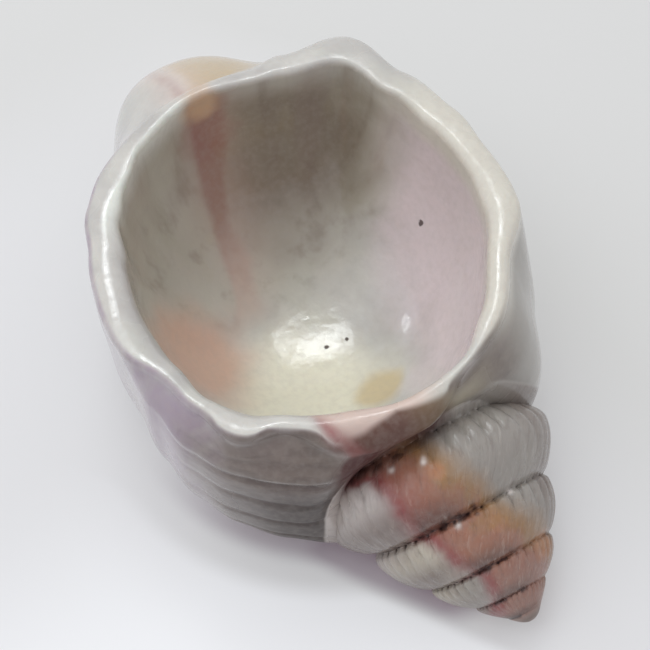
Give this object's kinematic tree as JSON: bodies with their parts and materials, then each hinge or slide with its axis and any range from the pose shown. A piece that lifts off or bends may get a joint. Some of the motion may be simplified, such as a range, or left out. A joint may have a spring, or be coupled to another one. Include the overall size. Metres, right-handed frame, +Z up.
{
  "type": "carved stone shell dish",
  "caption": "Small open dish carved from polished veined stone in the shape of a spired sea shell, for holding rings, keys or trinkets.",
  "frame": {"origin": "on the surface that the dish stands on, under the middle of its bounding box", "axes": "+Z up out of the bowl's mouth; +X along the length, from the knob to the tip of the spire; +Y to the left of that"},
  "size_m": [0.1352, 0.0834, 0.044],
  "materials": {
    "stone": "polished, pale grey-green cream with salmon, ochre and maroon bands"
  },
  "bodies": {
    "root": {"shell_dish": "stone"}
  },
  "joints": []
}
